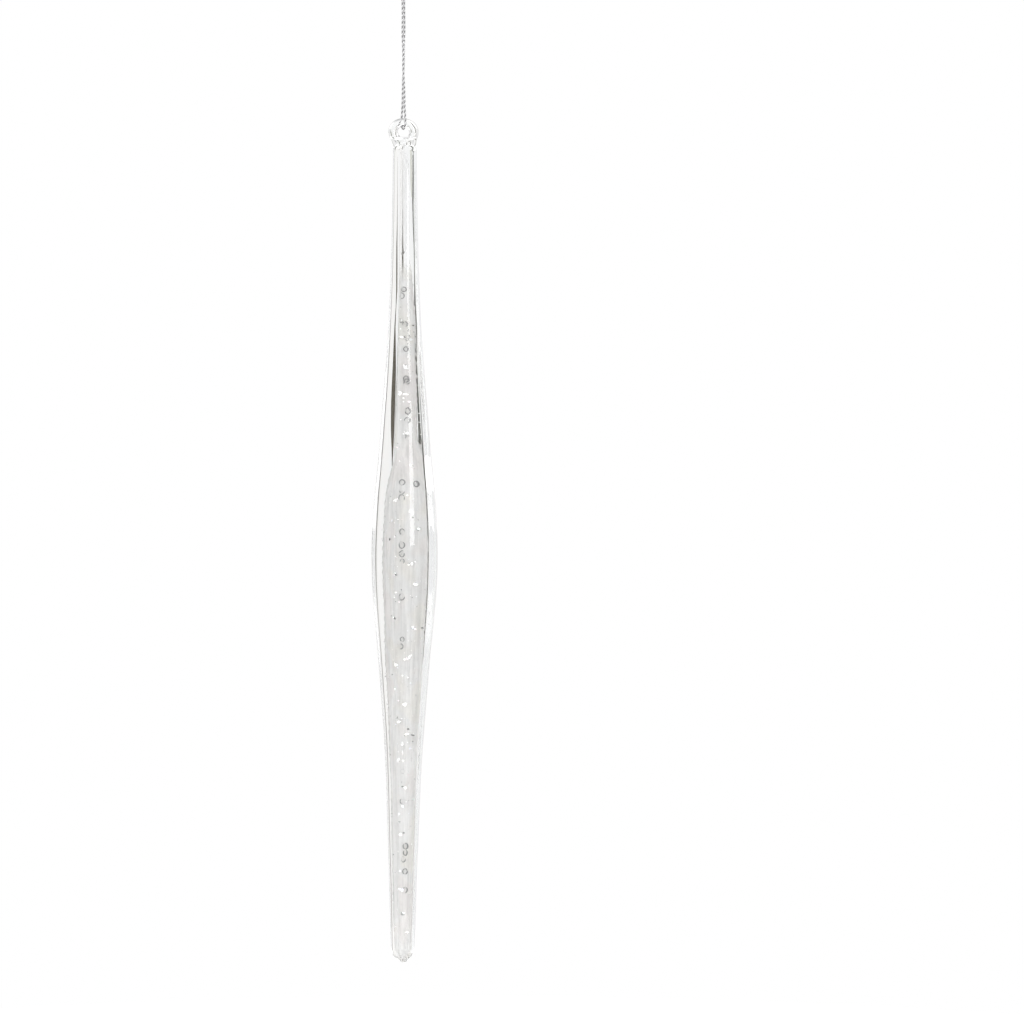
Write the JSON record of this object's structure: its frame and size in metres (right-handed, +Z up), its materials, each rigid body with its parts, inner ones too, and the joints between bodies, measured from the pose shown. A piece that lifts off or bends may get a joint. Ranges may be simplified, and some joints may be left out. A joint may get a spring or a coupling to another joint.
{
  "type": "icicle hanging ornament",
  "caption": "Clear lobed glass icicle with a frosted, glittered bore, a glass ring at its neck and a twisted silver cord loop to hang it.",
  "frame": {"origin": "where a hook bears, inside the top of the cord loop just under its knot", "axes": "+Z up along the hanging ornament; the glass ring lies in the XZ plane, so its hole runs along Y"},
  "size_m": [0.0243, 0.0239, 0.359],
  "materials": {
    "clear_glass": "polished clear glass",
    "frost": "frosted translucent coat with fine glitter",
    "bead_glass": "clear micro beads",
    "glitter": "iridescent mirror flakes",
    "silver_cord": "twisted silver metallic thread"
  },
  "bodies": {
    "knot": {"cord_knot": "silver_cord"},
    "cord": {"hanging_cord": "silver_cord"},
    "icicle": {"glass_body": "clear_glass", "hanging_ring": "clear_glass", "frost_liner": "frost", "ice_bead_01": "bead_glass", "ice_bead_02": "bead_glass", "ice_bead_03": "bead_glass", "ice_bead_04": "bead_glass", "ice_bead_05": "bead_glass", "ice_bead_06": "bead_glass", "ice_bead_07": "bead_glass", "ice_bead_08": "bead_glass", "ice_bead_09": "bead_glass", "ice_bead_10": "bead_glass", "ice_bead_11": "bead_glass", "ice_bead_12": "bead_glass", "ice_bead_13": "bead_glass", "ice_bead_14": "bead_glass", "ice_bead_15": "bead_glass", "ice_bead_16": "bead_glass", "ice_bead_17": "bead_glass", "glitter_flake_01": "glitter", "glitter_flake_02": "glitter", "glitter_flake_03": "glitter", "glitter_flake_04": "glitter", "glitter_flake_05": "glitter", "glitter_flake_06": "glitter", "glitter_flake_07": "glitter", "glitter_flake_08": "glitter", "glitter_flake_09": "glitter", "glitter_flake_10": "glitter", "glitter_flake_11": "glitter", "glitter_flake_12": "glitter", "glitter_flake_13": "glitter", "glitter_flake_14": "glitter", "glitter_flake_15": "glitter", "glitter_flake_16": "glitter", "glitter_flake_17": "glitter", "glitter_flake_18": "glitter", "glitter_flake_19": "glitter", "glitter_flake_20": "glitter", "glitter_flake_21": "glitter", "glitter_flake_22": "glitter", "glitter_flake_23": "glitter", "glitter_flake_24": "glitter", "glitter_flake_25": "glitter", "glitter_flake_26": "glitter", "glitter_flake_27": "glitter", "glitter_flake_28": "glitter"}
  },
  "joints": [
    {"name": "cord_turn", "type": "hinge", "parent": "knot", "child": "cord", "pos_m": [0, 0, 0], "axis": [0, 0, 1], "range_deg": [-180, 180]},
    {"name": "ring_swing", "type": "hinge", "parent": "cord", "child": "icicle", "pos_m": [0, 0, -0.04755], "axis": [1, 0, 0], "range_deg": [-80, 80]}
  ]
}
